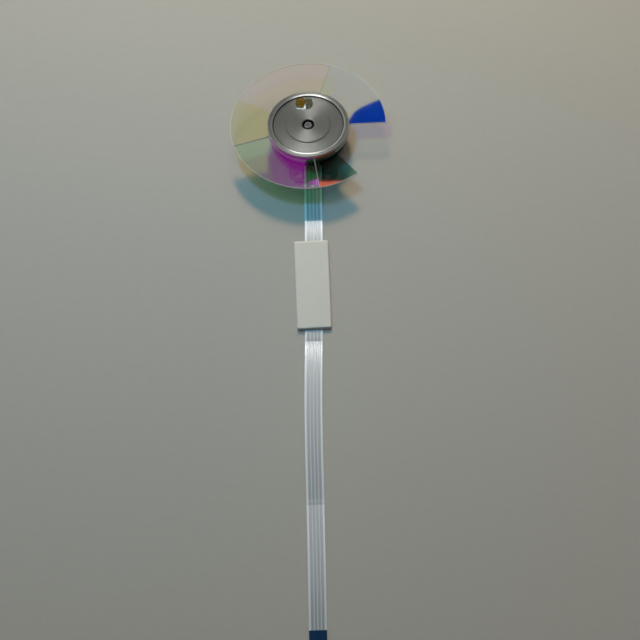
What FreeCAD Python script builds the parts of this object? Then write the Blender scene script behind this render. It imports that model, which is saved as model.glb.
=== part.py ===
import FreeCAD, Part
import math
import os

from FreeCAD import Vector

# Projector color wheel: four dichroic glass segments clamped on a flat outer-rotor motor,
# with a flat flexible cable that leaves over the mounting tongue.
# Millimetres. +Z is the spindle axis, z = 0 is the face the base plate rests on, and the
# cable leaves along -Y.

os.makedirs("parts", exist_ok=True)

UP = Vector(0, 0, 1)

# Wheel
wheel_r = 22.0
glass_bore_r = 7.5
glass_t = 0.7
glass_gap = 0.12
first_glass_angle = 1.5
glass_sweeps = {"blue": 72.3, "yellow": 123.2, "green": 81.7, "cyan": 30.6}
bond_t = 0.1

# Hub and clamp cap
hub_r = 11.55
hub_flange_t = 0.6
hub_neck_r = 3.0
pilot_clearance = 0.2
pilot_recess = 0.05
shaft_seat_len = 0.9
cap_floor_t = 0.3
cap_rim_h = 0.7
cap_boss_h = 0.6
cap_rim_w = 1.5
cap_boss_r = 6.19
cap_hole_r = 1.78
cap_bevel = 0.14
rim_slope_w = 0.5
rim_slope_h = 0.12

# Balance compound: each drop is a dome, set in from the channel's outer wall at its own angle
drop_h = 0.6
drop_foot_r = 2.15
amber_drop_inset = 2.3
amber_drop_angle = 106.0
clear_drop_inset = 2.75
clear_drop_angle = 88.0
drop_steps = 4

# Spindle
shaft_r = 1.15
shaft_top_drop = 0.1
shaft_bevel = 0.25
shaft_dimple_r = 0.45
shaft_end_clearance = 0.02
groove_depth = 0.3
clip_t = 0.15
clip_r = 1.75
clip_mouth_w = 1.3
clip_float = 0.15
bearing_clearance = 0.02
bearing_r = 2.6
bearing_bevel = 0.2
thrust_pocket_r = 2.2
thrust_t = 0.2
end_cap_t = 0.3
clip_pocket_h = 0.55

# Rotor
yoke_r = 10.1
yoke_t = 0.5
yoke_corner_r = 0.45
corner_steps = 2
magnet_t = 1.0
magnet_h = 2.0
magnet_inset = 0.1
mark_t = 0.06
mark_h = 1.7
mark_sweep = 60.0
mark_angle = 90.0

# Stator
poles = 9
air_gap = 0.3
core_t = 1.4
tooth_w = 1.4
shoe_t = 0.75
slot_mouth_angle = 6.0
core_ring_w = 1.3
coil_over = 0.45
coil_inner_side = 0.7
coil_outer_side = 1.25
coil_end_gap = 0.15
coil_corner = 0.3

# Base
base_r = 10.6
base_t = 0.6
board_t = 0.3
board_r = 10.3
board_hole_gap = 0.2
housing_r = 3.4
shoulder_r = 4.2
tongue_x = 1.2
tongue_w = 13.6
tongue_end = 15.7
tongue_bevel = 2.1
screw_hole_r = 1.0
screw_spacing = 8.3
screw_edge = 2.1
board_tongue_w = 5.8
board_tongue_short = 0.4
board_bevel = 0.6

# Running heights
board_to_rotor = 0.7
board_to_core = 1.0
coil_to_yoke = 0.25
housing_to_hub = 0.2

# Flat cable: four conductors at one pitch
cable_w = 5.0
cable_t = 0.3
conductors = 4
pitch = 1.0
conductor_w = 0.65
conductor_t = 0.1
film_t = (cable_t - conductor_t) / 2
tail_len = 1.7
bead_r = 0.42
bead_h = 0.35
bead_taper = 0.6
coil_joint_ring = 6.2
coil_joint_angle = 9.0

# Cable end and pad
bared_len = 4.0
stiffener_len = 9.1
stiffener_t = 0.2
pad_w = 9.6
pad_len = 30.4
pad_t = 0.5
liner_t = 0.08
pad_middle = (1.1, -51.9)
pad_turn_angle = 1.87

# Heights worked out from the sizes above
board_top = base_t + board_t
core_z = board_top + board_to_core
coil_top = core_z + core_t + coil_over
yoke_under = coil_top + coil_to_yoke
skirt_z = board_top + board_to_rotor
hub_z = yoke_under + yoke_t
bond_z = hub_z + hub_flange_t
glass_z = bond_z + bond_t
glass_top = glass_z + glass_t
cap_top = glass_top + cap_rim_h
cap_floor = glass_top + cap_floor_t
boss_top = glass_top + cap_boss_h
shaft_top = boss_top - shaft_top_drop
housing_top = yoke_under - housing_to_hub
thrust_top = end_cap_t + thrust_t
bearing_z = thrust_top + clip_pocket_h
clip_z = bearing_z - clip_float - clip_t
magnet_r = yoke_r - yoke_t
core_r = magnet_r - magnet_t - air_gap
pilot_r = glass_bore_r - pilot_clearance
channel_r = hub_r - cap_rim_w
screw_row = tongue_end - screw_edge
last_glass_angle = first_glass_angle + sum(glass_sweeps.values())

# Route of the cable's middle line, from the board to the bared end. Each bend takes the same
# share of the shorter run beside it.
arc_share = 0.45
cable_bow = 0.6
on_board = board_top + cable_t / 2
on_floor = cable_t / 2
route = [
    (tongue_x, -10.6, on_board),
    (tongue_x, -19.8, on_board),
    (1.36, -29.8, on_floor),
    (1.44, -44.0, on_floor),
    (1.45, -60.0, on_floor),
    (1.36, -73.0, on_floor),
    (1.22, -96.0, on_floor + cable_bow),
    (1.86, -127.6, on_floor),
    (2.28, -150.0, on_floor),
    (2.48, -166.0, on_floor),
    (2.72, -180.2, on_floor),
]


def turned(profile):
    """Solid of revolution about Z from (radius, height) corners."""
    corners = [Vector(r, 0, z) for r, z in profile]
    outline = Part.makePolygon(corners + corners[:1])
    return Part.Face(outline).revolve(Vector(0, 0, 0), UP, 360)


def prism(corners, z, height):
    """Upright prism from (x, y) corners."""
    points = [Vector(x, y, z) for x, y in corners]
    return Part.Face(Part.makePolygon(points + points[:1])).extrude(UP * height)


def disc(radius, z, height):
    return Part.makeCylinder(radius, height, Vector(0, 0, z))


def polar(radius, degrees, z):
    return Vector(radius * math.cos(math.radians(degrees)), radius * math.sin(math.radians(degrees)), z)


def sector(inner_r, outer_r, start, end, z, height, gap=0.0):
    """Part of a flat ring between two angles, its straight edges set back by half a gap."""
    inset_in = math.degrees(math.asin(gap / 2 / inner_r))
    inset_out = math.degrees(math.asin(gap / 2 / outer_r))
    middle = (start + end) / 2
    a = polar(inner_r, start + inset_in, z)
    b = polar(outer_r, start + inset_out, z)
    c = polar(outer_r, end - inset_out, z)
    d = polar(inner_r, end - inset_in, z)
    edges = [
        Part.LineSegment(a, b).toShape(),
        Part.Arc(b, polar(outer_r, middle, z), c).toShape(),
        Part.LineSegment(c, d).toShape(),
        Part.Arc(d, polar(inner_r, middle, z), a).toShape(),
    ]
    return Part.Face(Part.Wire(edges)).extrude(UP * height)


def quarter(radius, height, steps):
    """Points on a quarter ellipse from its foot to its top."""
    angles = [math.radians(90.0 * k / steps) for k in range(steps + 1)]
    return [(radius * math.cos(a), height * math.sin(a)) for a in angles]


def bead(x, y, z):
    """Solder bead: an eight-sided mound on its flat foot."""
    rings = []
    for radius, level in ((bead_r, z), (bead_r * bead_taper, z + bead_h)):
        corners = [Vector(x, y, 0) + polar(radius, 45.0 * k, level) for k in range(8)]
        rings.append(Part.makePolygon(corners + corners[:1]))
    return Part.makeLoft(rings, True, True)


def turn_about_z(shape, degrees):
    copy = shape.copy()
    copy.rotate(Vector(0, 0, 0), UP, degrees)
    return copy


def around(shape, count):
    return [turn_about_z(shape, 360.0 * k / count) for k in range(count)]


# Base

def tongue_outline(width, end, bevel):
    left = tongue_x - width / 2
    right = tongue_x + width / 2
    return [
        (left, 0),
        (left, bevel - end),
        (left + bevel, -end),
        (right - bevel, -end),
        (right, bevel - end),
        (right, 0),
    ]


def base_plate():
    tongue = prism(tongue_outline(tongue_w, tongue_end, tongue_bevel), 0, base_t)
    plate = disc(base_r, 0, base_t).fuse(tongue).cut(disc(housing_r, 0, base_t))
    for side in (-1, 1):
        x = tongue_x + side * screw_spacing / 2
        plate = plate.cut(Part.makeCylinder(screw_hole_r, base_t, Vector(x, -screw_row, 0)))
    return plate.removeSplitter()


def motor_pcb():
    outline = tongue_outline(board_tongue_w, tongue_end - board_tongue_short, board_bevel)
    board = disc(board_r, base_t, board_t).fuse(prism(outline, base_t, board_t))
    return board.cut(disc(shoulder_r + board_hole_gap, base_t, board_t)).removeSplitter()


def bearing_housing():
    return turned([
        (housing_r, 0),
        (housing_r, base_t),
        (shoulder_r, base_t),
        (shoulder_r, core_z),
        (housing_r, core_z),
        (housing_r, housing_top),
        (bearing_r, housing_top),
        (bearing_r, bearing_z),
        (thrust_pocket_r, bearing_z),
        (thrust_pocket_r, end_cap_t),
        (bearing_r, end_cap_t),
        (bearing_r, 0),
    ])


def sleeve_bearing():
    bore = shaft_r + bearing_clearance
    return turned([
        (bore, bearing_z),
        (bearing_r, bearing_z),
        (bearing_r, housing_top),
        (bore + bearing_bevel, housing_top),
        (bore, housing_top - bearing_bevel),
    ])


def thrust_plate():
    return disc(thrust_pocket_r, end_cap_t, thrust_t)


def housing_end_cap():
    return disc(bearing_r, 0, end_cap_t)


# Stator

def stator_core():
    ring_r = housing_r + core_ring_w
    tooth_end = core_r - shoe_t / 2
    root = Vector(housing_r, -tooth_w / 2, core_z)
    tooth = Part.makeBox(tooth_end - housing_r, tooth_w, core_t, root)
    half_shoe = 180.0 / poles - slot_mouth_angle / 2
    shoe = sector(core_r - shoe_t, core_r, -half_shoe, half_shoe, core_z, core_t)
    pole = tooth.fuse(shoe)
    core = disc(ring_r, core_z, core_t).multiFuse(around(pole, poles))
    return core.cut(disc(housing_r, core_z, core_t)).removeSplitter()


def coil_section(x, side):
    """Outline across a coil, with bevelled corners, at one distance from the axis."""
    y = tooth_w / 2 + side
    low = core_z - coil_over
    high = core_z + core_t + coil_over
    c = coil_corner
    outline = [
        (y - c, low),
        (y, low + c),
        (y, high - c),
        (y - c, high),
        (c - y, high),
        (-y, high - c),
        (-y, low + c),
        (c - y, low),
    ]
    points = [Vector(x, across, up) for across, up in outline]
    return Part.makePolygon(points + points[:1])


def stator_coils():
    """Windings that widen outwards, each with the tooth cut through it."""
    inner = housing_r + core_ring_w + coil_end_gap
    half_width = tooth_w / 2 + coil_outer_side
    outer = math.sqrt((core_r - shoe_t - coil_end_gap) ** 2 - half_width**2)
    ends = [coil_section(inner, coil_inner_side), coil_section(outer, coil_outer_side)]
    winding = Part.makeLoft(ends, True, True)
    winding = winding.cut(Part.makeBox(core_r, tooth_w, core_t, Vector(0, -tooth_w / 2, core_z)))
    return around(winding, poles)


def coil_solder_joints():
    first = 270 - coil_joint_angle * (conductors - 1) / 2
    spots = [polar(coil_joint_ring, first + coil_joint_angle * k, board_top) for k in range(conductors)]
    return [bead(spot.x, spot.y, spot.z) for spot in spots]


# Rotor

def shaft():
    low = thrust_top + shaft_end_clearance
    neck = shaft_r - groove_depth
    return turned([
        (0, low),
        (shaft_r - shaft_bevel, low),
        (shaft_r, low + shaft_bevel / 2),
        (shaft_r, clip_z),
        (neck, clip_z),
        (neck, clip_z + clip_t),
        (shaft_r, clip_z + clip_t),
        (shaft_r, shaft_top - shaft_bevel),
        (shaft_r - shaft_bevel, shaft_top),
        (shaft_dimple_r, shaft_top),
        (0, shaft_top - shaft_dimple_r),
    ])


def retaining_clip():
    ring = disc(clip_r, clip_z, clip_t).cut(disc(shaft_r - groove_depth, clip_z, clip_t))
    mouth = Part.makeBox(clip_r, clip_mouth_w, clip_t, Vector(0, -clip_mouth_w / 2, clip_z))
    return ring.cut(mouth)


def hub():
    """Flange, pilot for the glasses and neck for the yoke, sunk round the end of the shaft."""
    pilot_top = glass_top - pilot_recess
    seat_top = yoke_under + shaft_seat_len
    return turned([
        (shaft_r, yoke_under),
        (hub_neck_r, yoke_under),
        (hub_neck_r, hub_z),
        (hub_r, hub_z),
        (hub_r, bond_z),
        (pilot_r, bond_z),
        (pilot_r, pilot_top),
        (cap_hole_r, pilot_top),
        (cap_hole_r, seat_top),
        (shaft_r, seat_top),
    ])


def rotor_yoke():
    corner = quarter(yoke_corner_r, yoke_corner_r, corner_steps)
    centre_r = yoke_r - yoke_corner_r
    centre_z = hub_z - yoke_corner_r
    return turned(
        [(hub_neck_r, yoke_under), (magnet_r, yoke_under), (magnet_r, skirt_z), (yoke_r, skirt_z)]
        + [(centre_r + r, centre_z + z) for r, z in corner]
        + [(hub_neck_r, hub_z)]
    )


def ring_magnet():
    low = skirt_z + magnet_inset
    return disc(magnet_r, low, magnet_h).cut(disc(magnet_r - magnet_t, low, magnet_h))


def index_mark():
    start = mark_angle - mark_sweep / 2
    low = (skirt_z + hub_z - yoke_corner_r - mark_h) / 2
    return sector(yoke_r, yoke_r + mark_t, start, start + mark_sweep, low, mark_h)


def glasses():
    """One dichroic segment after the other, with the rest of the circle left open."""
    made = {}
    start = first_glass_angle
    for color, sweep in glass_sweeps.items():
        made["glass_" + color] = sector(
            glass_bore_r, wheel_r, start, start + sweep, glass_z, glass_t, glass_gap
        )
        start += sweep
    return made


def bonding_adhesive():
    """Thin bed between the hub flange and the glasses, with the same open sector."""
    bed_r = hub_r - cap_bevel
    return sector(glass_bore_r, bed_r, first_glass_angle, last_glass_angle, bond_z, bond_t, glass_gap)


def clamp_cap():
    """Turned cap with a raised rim that slopes into the balance channel, and a boss in its middle."""
    return turned([
        (cap_hole_r, glass_top),
        (hub_r, glass_top),
        (hub_r, cap_top - cap_bevel),
        (hub_r - cap_bevel, cap_top),
        (channel_r + rim_slope_w, cap_top),
        (channel_r, cap_top - rim_slope_h),
        (channel_r, cap_floor),
        (cap_boss_r, cap_floor),
        (cap_boss_r, boss_top - cap_bevel / 2),
        (cap_boss_r - cap_bevel / 2, boss_top),
        (cap_hole_r + cap_bevel / 2, boss_top),
        (cap_hole_r, boss_top - cap_bevel / 2),
    ])


def drop(inset, degrees):
    """Low dome in a few conical bands that fills the channel up to its walls."""
    mound = turned([(0, 0)] + quarter(drop_foot_r, drop_h, drop_steps))
    mound.translate(polar(channel_r - inset, degrees, cap_floor))
    return mound.cut(clamp_cap())


def balance_compound_amber():
    return drop(amber_drop_inset, amber_drop_angle)


def balance_compound_clear():
    return drop(clear_drop_inset, clear_drop_angle).cut(balance_compound_amber())


# Flat cable

def unit(a, b):
    length = math.hypot(b[0] - a[0], b[1] - a[1])
    return (b[0] - a[0]) / length, (b[1] - a[1]) / length


def side_edges(points, offset):
    """Runs joined by tangent arcs, all shifted to one side, in the plane of the points."""
    start = points[0]
    heading = unit(points[0], points[1])
    at = Vector(start[0] - heading[1] * offset, start[1] + heading[0] * offset, 0)
    edges = []
    for before, corner, after in zip(points, points[1:], points[2:]):
        first = unit(before, corner)
        second = unit(corner, after)
        turn = math.asin(first[0] * second[1] - first[1] * second[0])
        if abs(turn) < 1e-6:
            continue
        reach = arc_share * min(math.dist(before, corner), math.dist(corner, after))
        radius = reach / math.tan(abs(turn) / 2)
        side = math.copysign(1, turn)
        begin = (corner[0] - first[0] * reach, corner[1] - first[1] * reach)
        centre = (begin[0] - first[1] * radius * side, begin[1] + first[0] * radius * side)
        spoke = radius - offset * side
        angle = math.atan2(begin[1] - centre[1], begin[0] - centre[0])
        arc = [
            Vector(centre[0] + spoke * math.cos(a), centre[1] + spoke * math.sin(a), 0)
            for a in (angle, angle + turn / 2, angle + turn)
        ]
        edges.append(Part.LineSegment(at, arc[0]).toShape())
        edges.append(Part.Arc(*arc).toShape())
        at = arc[2]
    last = unit(points[-2], points[-1])
    end = Vector(points[-1][0] - last[1] * offset, points[-1][1] + last[0] * offset, 0)
    edges.append(Part.LineSegment(at, end).toShape())
    return edges


def band(points, width):
    """Flat face of constant width along a route."""
    left = side_edges(points, width / 2)
    right = side_edges(points, -width / 2)
    start = Part.LineSegment(right[0].Vertexes[0].Point, left[0].Vertexes[0].Point).toShape()
    end = Part.LineSegment(left[-1].Vertexes[-1].Point, right[-1].Vertexes[-1].Point).toShape()
    return Part.Face(Part.Wire(Part.__sortEdges__([start] + left + [end] + right)))


def whole_cable():
    """Plan of the cable met with its side view, so that it keeps one width and one thickness."""
    plan = band([(x, y) for x, y, z in route], cable_w).extrude(UP * glass_z)
    side = band([(y, z) for x, y, z in route], cable_t)
    side.rotate(Vector(0, 0, 0), Vector(1, 1, 1), 120)
    reach = cable_w * 2
    side.translate(Vector(-reach, 0, 0))
    return side.extrude(Vector(reach * 2 + tongue_x, 0, 0)).common(plan)


def conductor_offsets():
    return [pitch * (k - (conductors - 1) / 2) for k in range(conductors)]


def end_strip(offset, width, length, z, height):
    """Straight strip along the cable's last run, at a sideways offset from its middle."""
    before, end = route[-2], route[-1]
    along = unit(before[:2], end[:2])
    across = (-along[1], along[0])
    corners = []
    for back, side in ((0, -1), (0, 1), (length, 1), (length, -1)):
        shift = offset + side * width / 2
        x = end[0] - along[0] * back + across[0] * shift
        y = end[1] - along[1] * back + across[1] * shift
        corners.append((x, y))
    return prism(corners, z, height)


def ffc_ribbon():
    bared = end_strip(0, cable_w * 2, bared_len, 0, film_t + conductor_t)
    return whole_cable().cut(bared)


def ffc_contacts():
    return [
        end_strip(offset, conductor_w, bared_len, film_t, conductor_t)
        for offset in conductor_offsets()
    ]


def ffc_stiffener():
    return end_strip(0, cable_w, stiffener_len, cable_t, stiffener_t)


def ffc_solder_tails():
    start = route[0][1]
    left = tongue_x - conductor_w / 2
    return [
        Part.makeBox(conductor_w, tail_len, conductor_t, Vector(left + offset, start, board_top))
        for offset in conductor_offsets()
    ]


def ffc_solder_joints():
    y = route[0][1] + tail_len - bead_r
    return [bead(tongue_x + offset, y, board_top + conductor_t) for offset in conductor_offsets()]


def pad_block(width, length, z, height):
    x, y = pad_middle
    block = Part.makeBox(width, length, height, Vector(x - width / 2, y - length / 2, z))
    block.rotate(Vector(x, y, z), UP, pad_turn_angle)
    return block


def foam_tape_pad():
    return pad_block(pad_w, pad_len, cable_t, pad_t)


def release_liner():
    return pad_block(pad_w, pad_len, cable_t + pad_t, liner_t)


def report_cable():
    radii = []
    for before, corner, after in zip(route, route[1:], route[2:]):
        runs = math.dist(before, corner), math.dist(corner, after)
        dot = sum((b - a) * (c - b) for a, b, c in zip(before, corner, after)) / (runs[0] * runs[1])
        turn = math.acos(max(-1.0, min(1.0, dot)))
        radii.append(round(arc_share * min(runs) / math.tan(turn / 2), 1))
    length = sum(math.dist(a, b) for a, b in zip(route, route[1:]))
    print("cable radii", radii)
    print("cable length", round(length, 2))
    print("volume over section times length", whole_cable().Volume / (cable_w * cable_t * length))


def main():
    nodes = {
        "base_plate": base_plate(),
        "motor_pcb": motor_pcb(),
        "bearing_housing": bearing_housing(),
        "sleeve_bearing": sleeve_bearing(),
        "thrust_plate": thrust_plate(),
        "housing_end_cap": housing_end_cap(),
        "stator_core": stator_core(),
        "stator_coils": stator_coils(),
        "coil_solder_joints": coil_solder_joints(),
        "ffc_solder_tails": ffc_solder_tails(),
        "ffc_solder_joints": ffc_solder_joints(),
        "ffc_ribbon": ffc_ribbon(),
        "ffc_contacts": ffc_contacts(),
        "ffc_stiffener": ffc_stiffener(),
        "foam_tape_pad": foam_tape_pad(),
        "release_liner": release_liner(),
        "shaft": shaft(),
        "retaining_clip": retaining_clip(),
        "hub": hub(),
        "rotor_yoke": rotor_yoke(),
        "ring_magnet": ring_magnet(),
        "index_mark": index_mark(),
        "bonding_adhesive": bonding_adhesive(),
        "clamp_cap": clamp_cap(),
        "balance_compound_amber": balance_compound_amber(),
        "balance_compound_clear": balance_compound_clear(),
    }
    nodes.update(glasses())
    for name, made in nodes.items():
        pieces = made if isinstance(made, list) else [made]
        solids = [solid for piece in pieces for solid in piece.Solids]
        shape = solids[0] if len(solids) == 1 else Part.makeCompound(solids)
        print(name, len(solids), round(shape.Volume, 4), shape.isValid())
        shape.exportStep("parts/" + name + ".step")
    report_cable()


main()
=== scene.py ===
import math

import bpy
from mathutils import Matrix, Vector, noise


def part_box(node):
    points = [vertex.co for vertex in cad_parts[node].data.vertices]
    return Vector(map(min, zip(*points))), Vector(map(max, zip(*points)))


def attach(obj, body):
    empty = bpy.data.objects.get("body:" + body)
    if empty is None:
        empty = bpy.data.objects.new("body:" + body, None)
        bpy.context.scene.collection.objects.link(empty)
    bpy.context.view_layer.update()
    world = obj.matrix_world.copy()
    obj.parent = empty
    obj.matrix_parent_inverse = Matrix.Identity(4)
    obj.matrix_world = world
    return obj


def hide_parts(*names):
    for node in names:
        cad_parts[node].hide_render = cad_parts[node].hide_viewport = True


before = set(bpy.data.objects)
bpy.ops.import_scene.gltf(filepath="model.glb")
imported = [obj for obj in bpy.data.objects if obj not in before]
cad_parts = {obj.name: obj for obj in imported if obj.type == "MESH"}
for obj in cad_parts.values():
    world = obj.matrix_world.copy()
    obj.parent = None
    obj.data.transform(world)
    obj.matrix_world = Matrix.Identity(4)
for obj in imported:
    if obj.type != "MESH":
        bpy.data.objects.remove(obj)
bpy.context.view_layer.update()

# Projector color wheel: finishes, flat cable, pad and balance compound, and the studio round it.
# Metres, in the frame of the part: +Z is the spindle axis and the cable leaves along -Y.

MM = 0.001

# Places read from the frame
glass_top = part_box("glass_blue")[1].z
green_low, green_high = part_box("glass_green")
wheel_r = -green_low.y
green_end = -math.acos(green_high.x / wheel_r)
compound_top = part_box("balance_compound_amber")[1].z
pad_low, pad_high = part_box("foam_tape_pad")
liner_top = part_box("release_liner")[1].z

# Clamp cap, as far as the compound lies in it
channel_r = 10.05 * MM
boss_r = 6.19 * MM
boss_step = 0.3 * MM
channel_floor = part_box("balance_compound_amber")[0].z

# Flat cable
cable_w = 5.0 * MM
cable_t = 0.3 * MM
film_t = 0.1 * MM
conductors = 4
pitch = 1.0 * MM
conductor_w = 0.65 * MM
bared_len = 4.0 * MM

# Route of the cable's middle line: board, floor, pad, long bow, straight end
route = [
    (1.20, -10.6, 1.05),
    (1.20, -17.6, 1.10),
    (1.21, -18.6, 1.01),
    (1.29, -26.8, 0.28),
    (1.31, -28.3, 0.15),
    (1.35, -30.9, 0.15),
    (1.44, -44.0, 0.15),
    (1.45, -60.0, 0.15),
    (1.36, -73.0, 0.15),
    (1.22, -96.0, 0.15),
    (1.86, -127.6, 0.15),
    (2.28, -150.0, 0.15),
    (2.48, -166.0, 0.15),
    (2.72, -180.2, 0.15),
]

line_step = 0.4 * MM

# Light folds across the cable: Y, height and half width of each, in millimetres
folds = [(-70.9, 0.015, 0.5), (-127.2, 0.02, 0.6)]

# Pad on the cable, with its liner
pad_size = (9.6 * MM, 30.4 * MM)
pad_middle = (1.1, -51.9)
pad_turn = 1.87
pad_corner = 0.3 * MM
pad_edge = 0.08 * MM
liner_edge = 0.04 * MM
pad_droop = 0.04 * MM

# Balance compound: tops of the clear drop, and the depth marks that its finish reads; the thin
# skirt's mark gets a painted highlight, the lobe's does not
clear_top = compound_top - 0.08 * MM
skirt_top = channel_floor + 0.42 * MM
plain_resin_depth = 0.3
painted_glint_depth = 0.05

# Frosted bevel of the glasses
bevel = 0.16 * MM

# Camera: far off with a long lens, so that lines stay parallel as in the photograph
lens = 1600.0
camera_distance = 8.017
tilt = math.radians(36.2)
roll = math.radians(2.2)
aim_height = 5.9 * MM
aim_right = 3.334 * MM
aim_down = 54.81 * MM

# Room: its light on matt faces, the extra share from the front, and its glow past the floor
ambient = 0.07
front_fill = 0.3
backdrop = 0.6

# Its image in glossy faces: the level in front, what the back adds, and the share the right loses
image_front = 0.22
image_back = 0.50
image_right = 0.45

# Bright spots that metals mirror: level, direction, and degrees where each is full and gone
room_spots = [
    (1.5, (-0.04, 0, 1), 8, 20),
    (2.2, (-0.27, 0, 0.96), 5, 14),
    (2.0, (0, 0.9, 0.44), 4, 10),
]
dark_spot = (15, 26)

# Cards stand this far from the wheel along the mirrored line. A grid opens within these degrees
card_reach = 0.35
grid_opening = (3, 5)


# Camera

def camera_axes():
    """Right, up and back of the camera, as unit vectors."""
    right = Vector((math.cos(roll), 0, -math.sin(roll)))
    rise = math.sin(tilt)
    up = Vector((rise * math.sin(roll), math.cos(tilt), rise * math.cos(roll)))
    return right, up, right.cross(up)


def make_camera():
    right, up, back = camera_axes()
    data = bpy.data.cameras.new("camera")
    data.lens = lens
    data.sensor_width = 36
    data.clip_start = 1
    data.clip_end = 30
    camera = bpy.data.objects.new("camera", data)
    centre = Vector((0, 0, aim_height)) + right * aim_right - up * aim_down
    axes = Matrix((right, up, back)).transposed().to_4x4()
    camera.matrix_world = Matrix.Translation(centre + back * camera_distance) @ axes
    bpy.context.scene.collection.objects.link(camera)
    bpy.context.scene.camera = camera


# Mesh helpers

def add_mesh(name, vertices, faces, smooth=True):
    """Object with these vertices and faces, linked to the scene."""
    data = bpy.data.meshes.new(name)
    data.from_pydata([tuple(v) for v in vertices], [], faces)
    data.polygons.foreach_set("use_smooth", [smooth] * len(faces))
    data.update()
    piece = bpy.data.objects.new(name, data)
    bpy.context.scene.collection.objects.link(piece)
    return piece


def add_values(piece, name, values):
    """Keeps one number per vertex for the finish to read."""
    piece.data.attributes.new(name, "FLOAT", "POINT").data.foreach_set("value", values)


def tube_faces(rings, around):
    """Quads between rings of equal size, with a face at each end."""
    faces = []
    for i in range(rings - 1):
        for k in range(around):
            a = i * around + k
            b = i * around + (k + 1) % around
            faces.append((a, b, b + around, a + around))
    faces.append(tuple(range(around - 1, -1, -1)))
    faces.append(tuple(range((rings - 1) * around, rings * around)))
    return faces


def smoothstep(low, high, value):
    """0 below low, 1 above high, with soft ends."""
    t = min(1.0, max(0.0, (value - low) / (high - low)))
    return t * t * (3 - 2 * t)


# Flat cable

def smooth_line(points, steps=16):
    """Points read from the NURBS spline that has the route as its control points."""
    curve = bpy.data.curves.new("cable_line", "CURVE")
    curve.dimensions = "3D"
    curve.resolution_u = steps
    spline = curve.splines.new("NURBS")
    spline.points.add(len(points) - 1)
    for place, point in zip(spline.points, points):
        place.co = (point[0] * MM, point[1] * MM, point[2] * MM, 1)
    spline.order_u = 3
    spline.use_endpoint_u = True
    holder = bpy.data.objects.new("cable_line", curve)
    read = bpy.data.meshes.new_from_object(holder)
    line = [v.co.copy() for v in read.vertices]
    bpy.data.objects.remove(holder)
    bpy.data.curves.remove(curve)
    bpy.data.meshes.remove(read)
    return line


def evenly(line, step):
    """The same line with a point every step along it."""
    made = [line[0]]
    left = step
    for a, b in zip(line, line[1:]):
        run = (b - a).length
        at = left
        while at < run:
            made.append(a.lerp(b, at / run))
            at += step
        left = at - run
    made.append(line[-1])
    return made


def fold_lift(y):
    """Height of the light folds where they cross the cable."""
    lift = 0.0
    for place, height, half in folds:
        lift += height * MM * max(0.0, 1 - abs(y / MM - place) / half)
    return lift


def ribbon_section():
    """Across and height of the top face: a plateau over each conductor, thin film beside it."""
    ramp = 0.09 * MM
    dip = 0.035 * MM
    edge_w = 0.08 * MM
    edge_drop = 0.03 * MM
    side = cable_w / 2
    half = cable_t / 2
    points = [(-side, half - dip - edge_drop), (-side + edge_w, half - dip)]
    for k in range(conductors):
        middle = pitch * (k - (conductors - 1) / 2)
        points.append((middle - conductor_w / 2 - ramp, half - dip))
        points.append((middle - conductor_w / 2, half))
        points.append((middle, half))
        points.append((middle + conductor_w / 2, half))
        points.append((middle + conductor_w / 2 + ramp, half - dip))
    points.append((side - edge_w, half - dip))
    points.append((side, half - dip - edge_drop))
    return points


def make_ribbon(line):
    """Flat cable along the line, with raised conductors and a thinner bared end."""
    upper = ribbon_section()
    lower = [(across, -height) for across, height in reversed(upper)]
    vertices, across_values, along_values = [], [], []
    walked = 0.0
    total = sum((b - a).length for a, b in zip(line, line[1:]))
    for i, point in enumerate(line):
        ahead = line[min(i + 1, len(line) - 1)] - line[max(i - 1, 0)]
        side = Vector((-ahead.y, ahead.x, 0)).normalized()
        normal = ahead.normalized().cross(side)
        if normal.z < 0:
            normal = -normal
        if i:
            walked += (point - line[i - 1]).length
        lift = fold_lift(point.y)
        bared = total - walked < bared_len
        for across, height in upper + lower:
            if bared and height < 0:
                height = cable_t / 2 - film_t
            vertices.append(point + side * across + normal * height + Vector((0, 0, lift)))
            across_values.append(across / MM)
            along_values.append(walked / MM)
    ribbon = add_mesh("flat_cable", vertices, tube_faces(len(line), len(upper) * 2), smooth=False)
    add_values(ribbon, "across", across_values)
    add_values(ribbon, "along", along_values)
    return ribbon


def make_cable():
    """The flat cable from the board's edge to its connector end, with the pad on it."""
    line = evenly(smooth_line(route), line_step)
    ribbon = make_ribbon(line)
    pad, liner = make_pad()
    ribbon.data.materials.append(cable_film("cable_film"))
    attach(ribbon, "motor_base")
    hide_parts("ffc_ribbon")


# Pad on the cable

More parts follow.
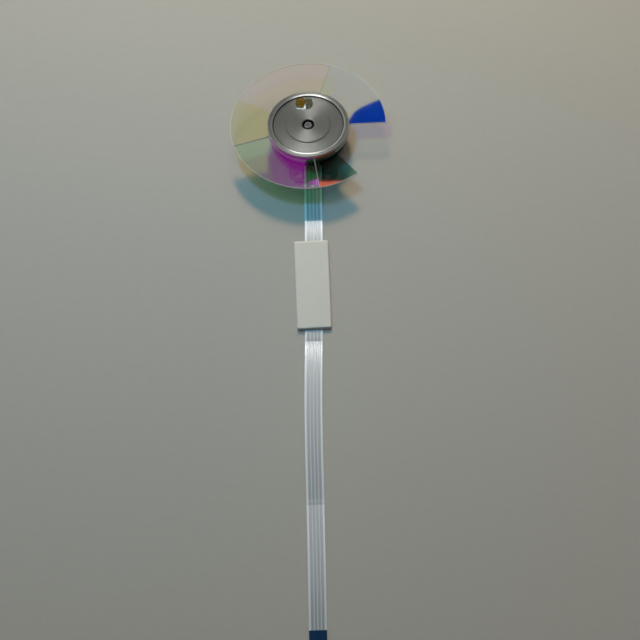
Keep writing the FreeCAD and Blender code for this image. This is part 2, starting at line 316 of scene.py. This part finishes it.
def rounded_slab(name, low, high, edge):
    """Slab of the pad's size with rounded corners, soft edges and sides that droop a little."""
    half_w, half_l = pad_size[0] / 2, pad_size[1] / 2
    straight_w, straight_l = half_w - pad_corner, half_l - pad_corner
    across, along = 24, 60
    vertices, faces = [], []
    for level in (0, 1):
        for j in range(along + 1):
            for i in range(across + 1):
                u = 2 * i / across - 1
                v = 2 * j / along - 1
                x, y = u * half_w, v * half_l
                out_x = max(0.0, abs(x) - straight_w)
                out_y = max(0.0, abs(y) - straight_l)
                if out_x and out_y:
                    away = math.hypot(out_x, out_y)
                    share = max(out_x, out_y) / away
                    x = math.copysign(straight_w + out_x * share, x)
                    y = math.copysign(straight_l + out_y * share, y)
                inside = min(half_w - abs(x), half_l - abs(y))
                drop = edge * (1 - min(1.0, inside / edge)) ** 2 * 0.5
                lift = -pad_droop * smoothstep(0.5, 1.0, abs(u))
                z = high - drop + lift if level else low + lift
                vertices.append(Vector((x, y, z)))
    row = across + 1
    layer = row * (along + 1)
    for j in range(along):
        for i in range(across):
            a = j * row + i
            faces.append((a, a + row, a + row + 1, a + 1))
            b = a + layer
            faces.append((b, b + 1, b + row + 1, b + row))
    rim = list(range(row))
    rim += [j * row + across for j in range(1, along + 1)]
    rim += [along * row + i for i in range(across - 1, -1, -1)]
    rim += [j * row for j in range(along - 1, 0, -1)]
    for a, b in zip(rim, rim[1:] + rim[:1]):
        faces.append((a, b, b + layer, a + layer))
    return add_mesh(name, vertices, faces)


def make_pad():
    """Foam pad and its liner, laid over the cable."""
    turn = Matrix.Rotation(math.radians(pad_turn), 4, "Z")
    middle = Vector((pad_middle[0] * MM, pad_middle[1] * MM, 0))
    pad = rounded_slab("foam_pad", pad_low.z, pad_high.z, pad_edge)
    liner = rounded_slab("pad_liner", pad_high.z, liner_top, liner_edge)
    for piece, node, slot, finish in (
        (pad, "foam_tape_pad", "foam_tape", foam_tape),
        (liner, "release_liner", "liner_paper", liner_paper),
    ):
        piece.data.transform(Matrix.Translation(middle) @ turn)
        piece.data.materials.append(finish(slot))
        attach(piece, "motor_base")
        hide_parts(node)
    return pad, liner


# Balance compound

def mound(middle, radii, top, seed):
    """Irregular mound, kept in by the channel's wall and stepped up on the boss.

    Its middle and radii are in millimetres, and the seed sets its outline and bumps."""
    rings, around = 14, 48
    ragged = 0.16
    bumpy = 0.10
    lumps = 0.9
    flat_share = 0.88
    step_low, step_high = boss_r - 0.1 * MM, boss_r + 0.05 * MM
    vertices = []
    for j in range(rings + 1):
        s = j / rings
        for k in range(around):
            a = 2 * math.pi * k / around
            wobble = 1 + ragged * noise.noise(Vector((2 * math.cos(a), 2 * math.sin(a), seed)))
            reach = math.cos(s * math.pi / 2) ** 0.8 * wobble
            x = middle[0] * MM + radii[0] * MM * reach * math.cos(a)
            y = middle[1] * MM + radii[1] * MM * reach * math.sin(a)
            away = math.hypot(x, y)
            if away > channel_r:
                x, y, away = x * channel_r / away, y * channel_r / away, channel_r
            foot = channel_floor + boss_step * (1 - smoothstep(step_low, step_high, away))
            bump = bumpy * noise.noise(Vector((x / MM * lumps, y / MM * lumps, seed + 5)))
            rise = math.sin(s * math.pi / 2) * (flat_share + bump)
            vertices.append(Vector((x, y, foot + max(0.0, top - foot) * rise)))
    return vertices, tube_faces(rings + 1, around)


def compound_drop(name, *mounds):
    """Drop of balance compound, made of one or more mounds that run into each other."""
    vertices, faces = [], []
    for points, quads in mounds:
        start = len(vertices)
        vertices += points
        faces += [tuple(start + corner for corner in face) for face in quads]
    return add_mesh(name, vertices, faces)


def make_drops():
    """The two drops of balance compound in the cap's channel."""
    lobe = mound((0.0, 7.45), (1.35, 2.1), clear_top, 8.0)
    skirt = mound((-1.45, 6.95), (2.12, 1.75), skirt_top, 5.0)
    amber = compound_drop("amber_drop", mound((-2.05, 7.55), (1.6, 2.0), compound_top, 3.0))
    clear = compound_drop("clear_drop", lobe, skirt)
    # The skirt's mark selects a painted highlight in the clear compound's finish
    painted_glint_depths = [plain_resin_depth] * len(lobe[0]) + [painted_glint_depth] * len(skirt[0])
    add_values(clear, "depth_for_painted_glint", painted_glint_depths)
    for piece, node, slot, finish in (
        (amber, "balance_compound_amber", "amber_compound", amber_compound),
        (clear, "balance_compound_clear", "clear_compound", clear_compound),
    ):
        piece.data.materials.append(finish(slot))
        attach(piece, "rotor")
        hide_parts(node)


# Finishes: sockets that take arithmetic, and one builder for every node

class Value:
    """A node's output that can be used in Python expressions."""

    def __init__(self, finish, socket):
        self.finish = finish
        self.socket = socket

    def maths(self, operation, *others):
        inputs = dict(enumerate((self, *others)))
        return self.finish.node("ShaderNodeMath", {"operation": operation}, inputs)

    def __add__(self, other):
        return self.maths("ADD", other)

    def __sub__(self, other):
        return self.maths("SUBTRACT", other)

    def __mul__(self, other):
        return self.maths("MULTIPLY", other)

    def __truediv__(self, other):
        return self.maths("DIVIDE", other)

    def __pow__(self, other):
        return self.maths("POWER", other)

    def __rsub__(self, other):
        return self.finish.node("ShaderNodeMath", {"operation": "SUBTRACT"}, {0: other, 1: self})

    __radd__ = __add__
    __rmul__ = __mul__

    def ramp(self, low, high):
        """0 below low, 1 above high, with soft ends."""
        return self.finish.node(
            "ShaderNodeMapRange",
            {"interpolation_type": "SMOOTHSTEP"},
            {"Value": self, "From Min": low, "From Max": high},
        )


class Finish:
    """The nodes of a material or of the world."""

    def __init__(self, holder):
        self.holder = holder
        holder.use_nodes = True
        self.tree = holder.node_tree
        self.tree.nodes.clear()

    def node(self, kind, settings=None, inputs=None, output=0):
        """Adds a node with its settings and inputs, and gives one of its outputs."""
        made = self.tree.nodes.new(kind)
        for name, value in (settings or {}).items():
            setattr(made, name, value)
        for name, value in (inputs or {}).items():
            if isinstance(value, Value):
                self.tree.links.new(value.socket, made.inputs[name])
            else:
                made.inputs[name].default_value = value
        return Value(self, made.outputs[output]) if made.outputs else made

    def place(self):
        """Place in the frame of the part."""
        return self.node("ShaderNodeTexCoord", output="Object")

    def xyz(self):
        parts = self.node("ShaderNodeSeparateXYZ", inputs={0: self.place()})
        return [Value(self, output) for output in parts.socket.node.outputs]

    def radius(self):
        x, y, z = self.xyz()
        return (x * x + y * y) ** 0.5

    def value_at(self, name):
        return self.node("ShaderNodeAttribute", {"attribute_name": name}, output="Fac")

    def noise(self, scale, detail=2.0, rough=0.5, stretch=None):
        vector = self.place()
        if stretch:
            inputs = {0: vector, 1: stretch}
            vector = self.node("ShaderNodeVectorMath", {"operation": "MULTIPLY"}, inputs)
        return self.node(
            "ShaderNodeTexNoise",
            inputs={"Vector": vector, "Scale": scale, "Detail": detail, "Roughness": rough},
        )

    def toward(self, vector, direction):
        """Cosine of the angle between a vector and a fixed direction."""
        inputs = {0: vector, 1: Vector(direction).normalized()}
        return self.node("ShaderNodeVectorMath", {"operation": "DOT_PRODUCT"}, inputs, "Value")

    def rings(self, radius, scale, detail=3.0):
        """Noise that changes with the radius alone, as turning marks do."""
        return self.node(
            "ShaderNodeTexNoise",
            {"noise_dimensions": "1D"},
            {"W": radius, "Scale": scale, "Detail": detail},
        )

    def mix(self, factor, a, b):
        """Color from a to b."""
        inputs = {0: factor, 6: as_color(a), 7: as_color(b)}
        return self.node("ShaderNodeMix", {"data_type": "RGBA"}, inputs, output=2)

    def mix_shaders(self, factor, a, b):
        return self.node("ShaderNodeMixShader", inputs={0: factor, 1: a, 2: b})

    def clear(self, tint):
        return self.node("ShaderNodeBsdfTransparent", inputs={"Color": as_color(tint)})

    def bump(self, height, distance):
        return self.node("ShaderNodeBump", inputs={"Height": height, "Distance": distance})

    def surface(self, **inputs):
        sockets = {}
        for name, value in inputs.items():
            socket = name.replace("_", " ").title().replace("Ior", "IOR")
            sockets[socket] = as_color(value) if socket.endswith("Color") else value
        return self.node("ShaderNodeBsdfPrincipled", inputs=sockets)

    def out(self, shader):
        self.node("ShaderNodeOutputMaterial", inputs={"Surface": shader})
        return self.holder


def new_finish(name):
    return Finish(bpy.data.materials.new(name))


def as_color(value):
    """A color as four numbers, or the link as it is."""
    return value if isinstance(value, Value) else (*value[:3], 1.0)


# Metals

def turned_metal(name, tint, roughness, painted_shade_radii=(), polished=None):
    """Lathe-turned metal: fine rings in height and polish, and a sheen that fans out.

    Painted shade darkens it to near black between each pair of shaded radii, where shade falls in
    corners and gaps, and the polished ones are smoother."""
    f = new_finish(name)
    radius = f.radius()
    fine = f.rings(radius, 9000.0)
    broad = f.rings(radius, 900.0, 2.0)
    dust = f.noise(900.0, 3.0)
    shade = 0.88 + 0.16 * broad + 0.05 * dust
    clean = f.mix(shade.ramp(0.86, 1.08), [c * 0.86 for c in tint], tint)
    rough = roughness + 0.12 * fine + 0.05 * broad
    for radii in painted_shade_radii:
        # Painted shade: near-black colour between the shaded radii, standing in for the shade in
        # corners and gaps
        clean = f.mix(ring(radius, *radii), clean, (0.02, 0.02, 0.018))
    if polished:
        rough = rough - 0.16 * ring(radius, *polished)
    return f.out(f.surface(
        base_color=clean,
        metallic=1.0,
        roughness=rough,
        anisotropic=0.75,
        anisotropic_rotation=0.25,
        normal=f.bump(fine, 0.004 * MM),
    ))


def ring(radius, inner, outer):
    """1 between two radii and 0 elsewhere."""
    soft = 0.05 * MM
    return radius.ramp(inner - soft, inner) * (1 - radius.ramp(outer, outer + soft))


def plain_metal(name, tint, roughness):
    """Rolled or ground metal with a faint cloud in its polish."""
    f = new_finish(name)
    cloud = f.noise(480.0, 3.0)
    fine = f.noise(1600.0, 4.0, 0.6)
    return f.out(f.surface(
        base_color=f.mix(cloud, [c * 0.8 for c in tint], tint),
        metallic=1.0,
        roughness=roughness + 0.15 * fine,
        normal=f.bump(fine, 0.004 * MM),
    ))


def coated_steel(name, tint):
    """Coated plate: satin, with a faint cloud and small worn scratches."""
    f = new_finish(name)
    cloud = f.noise(500.0, 3.0)
    scratch = f.noise(2500.0, 2.0, 0.5, stretch=(0.15, 1.0, 1.0)).ramp(0.68, 0.74)
    return f.out(f.surface(
        base_color=f.mix(0.35 * scratch + 0.4 * cloud, tint, [c * 0.6 for c in tint]),
        metallic=0.8,
        roughness=0.42 + 0.15 * cloud,
        normal=f.bump(cloud, 0.006 * MM),
    ))


def laminations(name):
    """Edges of the stacked core sheets, seen as fine level lines."""
    f = new_finish(name)
    z = f.xyz()[2]
    sheets = (z * (2 * math.pi / (0.2 * MM))).maths("SINE")
    rust = f.noise(900.0, 4.0)
    return f.out(f.surface(
        base_color=f.mix(rust, (0.23, 0.22, 0.21), (0.36, 0.35, 0.33)),
        metallic=0.8,
        roughness=0.4 + 0.2 * rust,
        normal=f.bump(sheets, 0.01 * MM),
    ))


def enamelled_wire(name):
    """Copper windings: fine strands side by side round each tooth, under clear enamel."""
    f = new_finish(name)
    strands = (f.radius() * (2 * math.pi / (0.16 * MM))).maths("SINE")
    tone = f.noise(1500.0, 2.0)
    return f.out(f.surface(
        base_color=f.mix(tone, (0.42, 0.13, 0.035), (0.68, 0.25, 0.075)),
        metallic=0.85,
        roughness=0.28 + 0.1 * tone,
        coat_weight=0.6,
        normal=f.bump(strands, 0.03 * MM),
    ))


def magnet_compound(name):
    f = new_finish(name)
    grit = f.noise(3500.0, 5.0, 0.7)
    return f.out(f.surface(
        base_color=f.mix(grit, (0.022, 0.022, 0.024), (0.07, 0.07, 0.072)),
        roughness=0.5 + 0.2 * grit,
        metallic=0.2,
        normal=f.bump(grit, 0.01 * MM),
    ))


def sintered(name):
    """Porous bronze with oil in its pores."""
    f = new_finish(name)
    pores = f.noise(6000.0, 3.0).ramp(0.42, 0.6)
    return f.out(f.surface(
        base_color=f.mix(pores, (0.22, 0.13, 0.06), (0.56, 0.36, 0.17)),
        metallic=0.9,
        roughness=0.42 - 0.12 * pores,
        normal=f.bump(pores, 0.01 * MM),
    ))


def solder(name):
    f = new_finish(name)
    frost = f.noise(2600.0, 3.0)
    return f.out(f.surface(
        base_color=f.mix(frost, (0.46, 0.47, 0.48), (0.74, 0.75, 0.76)),
        metallic=1.0,
        roughness=0.18 + 0.25 * frost,
        normal=f.bump(frost, 0.02 * MM),
    ))


# Board, marks and adhesive

def circuit_board(name):
    """Dark lacquered board with copper areas that show as a slightly lighter, raised pattern."""
    f = new_finish(name)
    tracks = f.node(
        "ShaderNodeTexVoronoi",
        {"feature": "DISTANCE_TO_EDGE"},
        {"Vector": f.place(), "Scale": 420.0},
        output="Distance",
    ).ramp(0.05, 0.09)
    weave = f.noise(5000.0, 2.0)
    return f.out(f.surface(
        base_color=f.mix(tracks, (0.012, 0.020, 0.014), (0.020, 0.040, 0.026)),
        roughness=0.32 + 0.15 * weave,
        coat_weight=0.4,
        coat_roughness=0.2,
        normal=f.bump(tracks + 0.15 * weave, 0.02 * MM),
    ))


def black_mark(name):
    f = new_finish(name)
    speck = f.noise(3000.0, 4.0)
    return f.out(f.surface(
        base_color=f.mix(speck, (0.008, 0.008, 0.009), (0.03, 0.03, 0.03)),
        roughness=0.7 + 0.15 * speck,
    ))


def clear_adhesive(name):
    f = new_finish(name)
    bubbles = f.noise(2500.0, 3.0).ramp(0.55, 0.7)
    return f.out(f.surface(
        base_color=f.mix(bubbles, (0.50, 0.49, 0.42), (0.70, 0.69, 0.62)),
        roughness=0.25 + 0.3 * bubbles,
    ))


# Glass

def dichroic(name, upright, slanted, steep, mirrored):
    """Coated glass: colors light that passes by its angle, and mirrors the rest.

    The coat is on the top face and stops at a thin frosted bevel. Ground edges scatter a little."""
    f = new_finish(name)
    facing = f.node("ShaderNodeLayerWeight", inputs={"Blend": 0.5}, output="Facing")
    passed = f.clear(upright)
    for color, low, high in ((slanted, 0.06, 0.17), (steep, 0.22, 0.34)):
        passed = f.mix_shaders(facing.ramp(low, high), passed, f.clear(color))
    mirror = f.node("ShaderNodeBsdfGlossy", inputs={"Color": as_color(mirrored), "Roughness": 0.02})
    coat = f.node("ShaderNodeAddShader", inputs={0: passed, 1: mirror})
    clear = f.clear((0.99, 0.99, 0.985))
    grain = f.noise(9000.0, 2.0)
    ground = f.surface(
        base_color=f.mix(grain, (0.55, 0.55, 0.45), (0.75, 0.75, 0.64)),
        roughness=0.35,
        normal=f.bump(grain, 0.01 * MM),
    )
    edge = f.mix_shaders(0.3, clear, ground)
    normal = f.node("ShaderNodeNewGeometry", output="True Normal")
    level = f.node("ShaderNodeSeparateXYZ", inputs={0: normal}, output="Z").maths("ABSOLUTE")
    x, y, z = f.xyz()
    on_top = z.ramp(glass_top - 0.3 * MM, glass_top - 0.1 * MM)
    from_joint = (x * math.sin(green_end) - y * math.cos(green_end)).maths("ABSOLUTE")
    off_joint = from_joint.ramp(0.08 * MM, 0.14 * MM).maths("MAXIMUM", y.ramp(-MM, 0))
    at_rim = f.radius().ramp(wheel_r - bevel, wheel_r - 0.6 * bevel)
    frosted = 1 - off_joint * (1 - at_rim)
    coat = f.mix_shaders(0.7 * frosted, coat, ground)
    flat = f.mix_shaders(on_top, clear, coat)
    return f.out(f.mix_shaders(level.ramp(0.4, 0.6), edge, flat))


# Cable, stiffener and pad

def cable_film(name):
    """White film over tinned conductors: four greyer bands with paler gaps and bright edges."""
    f = new_finish(name)
    across = f.value_at("across")
    along = f.value_at("along")
    phase = across / (pitch / MM) + (conductors - 1) / 2
    nearest = (phase + 0.5).maths("FLOOR")
    nearest = nearest.maths("MAXIMUM", 0.0).maths("MINIMUM", conductors - 1.0)
    off = (phase - nearest).maths("ABSOLUTE")
    band = 1 - off.ramp(0.27, 0.40)
    cloud = f.noise(300.0, 3.0, stretch=(1.0, 0.15, 1.0))
    lengthwise = f.node("ShaderNodeCombineXYZ", inputs={0: across * 3.0, 1: along * 0.04})
    streak = f.node(
        "ShaderNodeTexNoise",
        {"noise_dimensions": "2D"},
        {"Vector": lengthwise, "Scale": 2.0, "Detail": 2.0},
    )
    margin = across.maths("ABSOLUTE").ramp(1.95, 2.1)
    film = f.mix(margin, (0.61, 0.61, 0.59), (0.80, 0.80, 0.77))
    paint = f.mix(band * (0.8 + 0.2 * streak), film, (0.345, 0.35, 0.34))
    return f.out(f.surface(
        base_color=f.mix(0.2 * cloud, paint, (0.66, 0.67, 0.67)),
        roughness=0.34 + 0.10 * cloud + 0.05 * streak,
        specular_ior_level=0.25,
        coat_weight=1.0,
        coat_roughness=0.03,
        normal=f.bump(cloud, 0.01 * MM),
    ))


def stiffener_film(name):
    f = new_finish(name)
    cloud = f.noise(700.0, 3.0)
    return f.out(f.surface(
        base_color=f.mix(cloud, (0.004, 0.026, 0.075), (0.010, 0.050, 0.115)),
        roughness=0.28 + 0.12 * cloud,
        specular_ior_level=0.2,
        coat_weight=0.1,
        coat_roughness=0.15,
        normal=f.bump(cloud, 0.01 * MM),
    ))


def tinned_copper(name):
    f = new_finish(name)
    draw = f.noise(3000.0, 3.0, stretch=(1.0, 0.1, 1.0))
    return f.out(f.surface(
        base_color=f.mix(draw, (0.60, 0.60, 0.59), (0.80, 0.80, 0.78)),
        metallic=1.0,
        roughness=0.22 + 0.15 * draw,
        normal=f.bump(draw, 0.003 * MM),
    ))


def foam_tape(name):
    f = new_finish(name)
    cells = f.node(
        "ShaderNodeTexVoronoi", inputs={"Vector": f.place(), "Scale": 6000.0}, output="Distance"
    )
    return f.out(f.surface(
        base_color=f.mix(cells, (0.66, 0.67, 0.61), (0.78, 0.79, 0.72)),
        roughness=0.75,
        normal=f.bump(cells, 0.03 * MM),
    ))


def liner_paper(name):
    """Waxed release paper: off-white, semi-gloss, with a fine fibre cloud."""
    f = new_finish(name)
    cloud = f.noise(160.0, 4.0)
    fibre = f.noise(4200.0, 3.0, stretch=(1.0, 0.25, 1.0))
    return f.out(f.surface(
        base_color=f.mix(0.6 * cloud + 0.3 * fibre, (0.65, 0.61, 0.51), (0.735, 0.685, 0.59)),
        roughness=0.36 + 0.12 * cloud,
        coat_weight=0.2,
        coat_roughness=0.25,
        normal=f.bump(fibre + cloud, 0.006 * MM),
    ))


# Balance compound finishes

def amber_compound(name):
    """Cured resin: golden in its body, with painted shade that makes it nearly black at its foot,
    where its steep edge would look dark.
    """
    f = new_finish(name)
    x, y, z = f.xyz()
    height = z.ramp(channel_floor + 0.05 * MM, compound_top - 0.05 * MM)
    swirl = f.noise(900.0, 3.0)
    # Painted shade: darker towards the foot of the drop, golden towards its top
    painted_edge_light = f.mix(height, (0.016, 0.009, 0.003), (0.15, 0.085, 0.004))
    return f.out(f.surface(
        base_color=f.mix(swirl.ramp(0.45, 0.7), painted_edge_light, (0.07, 0.036, 0.003)),
        roughness=0.2 + 0.1 * swirl,
        specular_ior_level=0.2,
        coat_weight=0.35,
        coat_roughness=0.03,
        normal=f.bump(swirl, 0.05 * MM),
    ))


def clear_compound(name):
    """Clear resin over the dark channel: smoky in the middle, with a painted highlight that makes
    its thin skirt white.
    """
    f = new_finish(name)
    depth_for_painted_glint = f.value_at("depth_for_painted_glint")
    swirl = f.noise(1100.0, 3.0)
    # Painted highlight: white where the skirt is thin, standing in for glints on its wet edge
    painted_edge_light = f.mix(depth_for_painted_glint.ramp(0.06, 0.16), (0.88, 0.88, 0.85), (0.075, 0.070, 0.038))
    return f.out(f.surface(
        base_color=f.mix(0.5 * swirl.ramp(0.5, 0.7), painted_edge_light, (0.20, 0.19, 0.12)),
        roughness=0.15 + 0.08 * swirl,
        specular_ior_level=0.3,
        coat_weight=0.6,
        coat_roughness=0.02,
        normal=f.bump(swirl, 0.06 * MM),
    ))


def dress(material, *names):
    """Puts a material on pieces of the frame."""
    for name in names:
        piece = bpy.data.objects[name]
        piece.data.materials.clear()
        piece.data.materials.append(material)


def dress_all():
    """Finishes of all pieces that come from the frame."""
    aluminium = (0.64, 0.65, 0.60)
    # Painted shade rings: the channel's corner, the boss's foot and the gap round the shaft are
    # painted dark where shade falls
    groove_corner = (channel_r - 0.22 * MM, channel_r)
    boss_foot = (boss_r + 0.03 * MM, boss_r + 0.06 * MM)
    round_shaft = (-MM, 1.8 * MM)
    rim_slope = (channel_r + 0.05 * MM, channel_r + 0.5 * MM)
    painted_shade_radii = (groove_corner, boss_foot)
    dress(turned_metal("turned_aluminium", aluminium, 0.24, painted_shade_radii, rim_slope), "clamp_cap")
    dress(turned_metal("hub_aluminium", aluminium, 0.24, (round_shaft,)), "hub")
    dress(plain_metal("hard_steel", (0.56, 0.56, 0.57), 0.10), "shaft", "thrust_plate")
    dress(plain_metal("spring_steel", (0.42, 0.42, 0.43), 0.2), "retaining_clip")
    brass = turned_metal("turned_brass", (0.62, 0.47, 0.22), 0.22)
    dress(brass, "bearing_housing", "housing_end_cap")
    dress(turned_metal("yoke_steel", (0.32, 0.32, 0.32), 0.28), "rotor_yoke")
    dress(coated_steel("plate_steel", (0.34, 0.34, 0.33)), "base_plate")
    dress(laminations("core_steel"), "stator_core")
    dress(enamelled_wire("enamelled_copper"), "stator_coils")
    dress(magnet_compound("magnet_compound"), "ring_magnet")
    dress(sintered("sintered_bronze"), "sleeve_bearing")
    dress(solder("solder"), "coil_solder_joints", "ffc_solder_joints")
    dress(circuit_board("circuit_board"), "motor_pcb")
    dress(black_mark("black_mark"), "index_mark")
    dress(clear_adhesive("clear_adhesive"), "bonding_adhesive")
    dress(tinned_copper("tinned_copper"), "ffc_solder_tails", "ffc_contacts")
    dress(stiffener_film("stiffener_film"), "ffc_stiffener")
    # Passed upright, slanted and steep, and mirrored
    glasses = {
        "blue": ((0.20, 0.45, 0.94), (0.01, 0.12, 0.98), (0.80, 0.80, 0.86), (0.68, 0.62, 0.05)),
        "yellow": ((0.95, 0.92, 0.65), (0.99, 0.96, 0.76), (0.96, 0.96, 0.85), (0.07, 0.03, 0.16)),
        "green": ((0.08, 0.40, 0.12), (0.45, 0.96, 0.48), (0.01, 0.21, 0.15), (0.70, 0.03, 0.72)),
        "cyan": ((0.04, 0.34, 0.34), (0.24, 0.47, 0.38), (0.03, 0.20, 0.30), (0.90, 0.14, 0.08)),
    }
    for color, filters in glasses.items():
        dress(dichroic("dichroic_" + color, *filters), "glass_" + color)


# Studio

def mirror_point(x, y, reach=card_reach):
    """Where the camera's ray goes after it mirrors on the glass at x, y, both in millimetres."""
    point = Vector((x * MM, y * MM, glass_top))
    ray = (point - bpy.context.scene.camera.matrix_world.translation).normalized()
    return point + Vector((ray.x, ray.y, -ray.z)) * reach


def mirrored_way():
    """Direction of the camera's ray after the glass."""
    return mirror_point(0, 0, 1) - mirror_point(0, 0, 0)


def add_card(name, rows, levels, gridded=False):
    """Glowing card that shows only in reflections, drawn by its image on the glass.

    rows are two of its edges, as lists of equal length, and levels has the glow at each pair of
    their points. A gridded card glows along the mirrored line alone and is clear elsewhere."""
    first, second = rows
    points = [mirror_point(x, y) for x, y in first + second]
    count = len(first)
    faces = [(k, k + 1, k + 1 + count, k + count) for k in range(count - 1)]
    card = add_mesh(name, points, faces, smooth=False)
    peak = max(levels)
    add_values(card, "glow", [level / peak for level in levels + levels])
    f = new_finish(name)
    glow = f.value_at("glow")
    glow = f.mix(glow, (0, 0, 0), (1, 1, 1))
    light = f.node("ShaderNodeEmission", inputs={"Color": glow, "Strength": peak})
    if gridded:
        incoming = f.node("ShaderNodeNewGeometry", output="Incoming")
        along = soft_spot(f, incoming, -mirrored_way(), *grid_opening)
        light = f.mix_shaders(along, f.clear((1, 1, 1)), light)
    card.data.materials.append(f.out(light))
    card.visible_camera = False
    card.visible_diffuse = False
    card.visible_shadow = False


def add_lamp(name, place, width, level, tint):
    """Round soft lamp that lights the wheel. It isn't mirrored: bright spots in the room are."""
    away = Vector(place) - Vector((0, 0, glass_top))
    data = bpy.data.lights.new(name, "AREA")
    data.shape = "DISK"
    data.size = width
    data.energy = level * math.pi * away.length_squared
    data.color = tint
    lamp = bpy.data.objects.new(name, data)
    lamp.location = place
    lamp.rotation_mode = "QUATERNION"
    lamp.rotation_quaternion = away.to_track_quat("Z", "Y")
    lamp.visible_glossy = False
    bpy.context.scene.collection.objects.link(lamp)


def make_floor():
    """Plain pale floor, a little pearly."""
    half = 3.0
    corners = [Vector((x * half, y * half, 0)) for x, y in ((-1, -1), (1, -1), (1, 1), (-1, 1))]
    floor = add_mesh("floor", corners, [(0, 1, 2, 3)], smooth=False)
    f = new_finish("floor")
    grain = f.noise(400.0, 3.0)
    floor.data.materials.append(f.out(f.surface(
        base_color=f.mix(grain, (0.50, 0.475, 0.41), (0.53, 0.505, 0.44)),
        metallic=0.38,
        roughness=0.6,
    )))


def make_world():
    """Soft grey room: brighter behind the wheel, dark where the camera's ray leaves the glass."""
    world = bpy.data.worlds.new("studio")
    bpy.context.scene.world = world
    f = Finish(world)
    way = f.node("ShaderNodeTexCoord", output="Generated")
    dark = soft_spot(f, way, mirrored_way(), *dark_spot)
    behind = f.toward(way, (0, 1, 0)).ramp(-0.3, 0.7)
    right = f.toward(way, (1, 0, 0)).ramp(-0.5, 0.6)
    mirrored = (image_front + image_back * behind) * (1 - image_right * right) * (1 - dark)
    for bright, direction, inner, outer in room_spots:
        mirrored += bright * soft_spot(f, way, direction, inner, outer)
    glossy = f.node("ShaderNodeLightPath", output="Is Glossy Ray")
    seen = f.node("ShaderNodeLightPath", output="Is Camera Ray")
    fill = ambient + front_fill * soft_spot(f, way, (0, -1, 0.15), 8, 30)
    level = fill + glossy * (mirrored - fill) + seen * backdrop
    back = f.node("ShaderNodeBackground", inputs={"Color": (1, 1, 1, 1), "Strength": level})
    f.node("ShaderNodeOutputWorld", inputs={"Surface": back})


def soft_spot(f, way, direction, inner, outer):
    """1 within the inner angle of a direction and 0 past the outer one, in degrees."""
    edge = [math.cos(math.radians(angle)) for angle in (outer, inner)]
    return f.toward(way, direction).ramp(*edge)


def make_cards():
    """Cards whose images lie on the glass, given by the image's corners in millimetres."""
    edge = [
        (-26.0, 13.0), (-19.3, 9.5), (-11.4, 5.3), (0.0, 1.0), (9.5, -0.5), (11.5, 1.6),
        (13.1, 4.5), (15.2, 6.1), (18.1, 7.6), (20.3, 8.7), (27.0, 11.5),
    ]
    add_card("upper_card", (edge, [(x, 40.0) for x, y in edge]), [0.5] * len(edge))
    sides = [-26.0, -14.0, -8.5, -0.7]
    side_rows = ([(x, -26.0) for x in sides], [(x, -4.0) for x in sides])
    add_card("side_card", side_rows, [0.14, 0.14, 0.20, 0.22])
    foot = [-0.7, 3.0]
    add_card("foot_card", ([(x, -26.0) for x in foot], [(x, -20.8) for x in foot]), [0.22, 0.12])
    left_rows = ([(-0.5, -20.6), (3.0, -20.8)], [(-0.5, -19.9), (3.0, -18.7)])
    right_rows = ([(3.0, -23.5), (9.5, -23.5)], [(3.0, -19.75), (9.5, -19.75)])
    add_card("left_strip", left_rows, [0.1, 0.6])
    add_card("right_strip", right_rows, [0.55, 0.45])


def make_cable_cards():
    """Glare on the film and the pad: places along the cable and the glow mirrored there."""
    left_side, right_side = -9.0, 12.0
    glare = {
        "cable_card_a": [(-28.8, 11.0), (-31.0, 10.5), (-36.5, 4.0)],
        "pad_card": [(-36.5, 0.4), (-66.5, 0.4)],
        "cable_card_b": [
            (-66.5, 1.7), (-70.9, 1.7), (-71.3, 3.5), (-73.2, 14.0), (-75.4, 11.0), (-77.0, 8.0),
            (-79.0, 6.0), (-84.0, 3.8), (-91.0, 2.4), (-112.0, 0.9), (-126.8, 0.1),
        ],
        "cable_card_c": [(-127.0, 3.6), (-131.0, 2.7), (-147.0, 1.9), (-165.0, 0.2)],
    }
    rise = (glass_top - cable_t) * math.tan(tilt) / MM
    for name, steps in glare.items():
        rows = [[(x, y + rise) for y, level in steps] for x in (left_side, right_side)]
        add_card(name, rows, [level for y, level in steps], gridded=True)


def make_studio():
    """Floor, room, cards and the two lamps."""
    make_floor()
    make_world()
    make_cards()
    make_cable_cards()
    add_lamp("overhead", (-0.07, 0.065, 0.30), width=0.06, level=1.78, tint=(0.13, 0.593, 1.0))
    key_distance = 0.45
    key_angle = math.radians(36.5)
    key_place = (-0.012, key_distance * math.cos(key_angle), key_distance * math.sin(key_angle))
    add_lamp("key", key_place, width=0.08, level=3.5, tint=(1.0, 0.74, 0.47))


# The scene

make_camera()
make_cable()
make_drops()
dress_all()
make_studio()
bpy.context.scene.view_settings.view_transform = "Standard"
